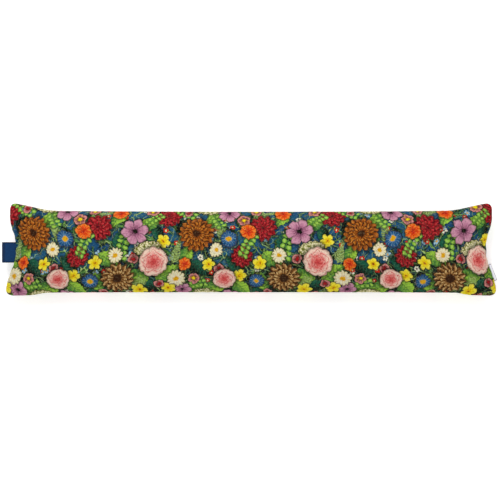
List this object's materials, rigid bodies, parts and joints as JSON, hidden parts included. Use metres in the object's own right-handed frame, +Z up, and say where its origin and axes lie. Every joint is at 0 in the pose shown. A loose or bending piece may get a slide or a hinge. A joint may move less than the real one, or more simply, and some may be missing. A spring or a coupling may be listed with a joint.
{
  "type": "draught excluder",
  "caption": "Long filled cushion that lies along the foot of a door, with drawn-in knife-edge ends, flared corners, a folded webbing tab and a small tape label.",
  "frame": {"origin": "middle of the flat underside, on the surface that the cushion lies on", "axes": "+X along the cushion to the end with the label, +Y to the upper long edge of the face that shows, +Z up through the crown"},
  "size_m": [0.9191, 0.1701, 0.0732],
  "materials": {
    "printed_cotton": "matte printed cotton, dense flowers on blue",
    "navy_webbing": "ribbed woven webbing, slight sheen",
    "white_tape": "smooth woven tape, soft sheen"
  },
  "bodies": {
    "root": {"cover_cushion": "printed_cotton", "hang_tab": "navy_webbing", "care_label": "white_tape"}
  },
  "joints": []
}
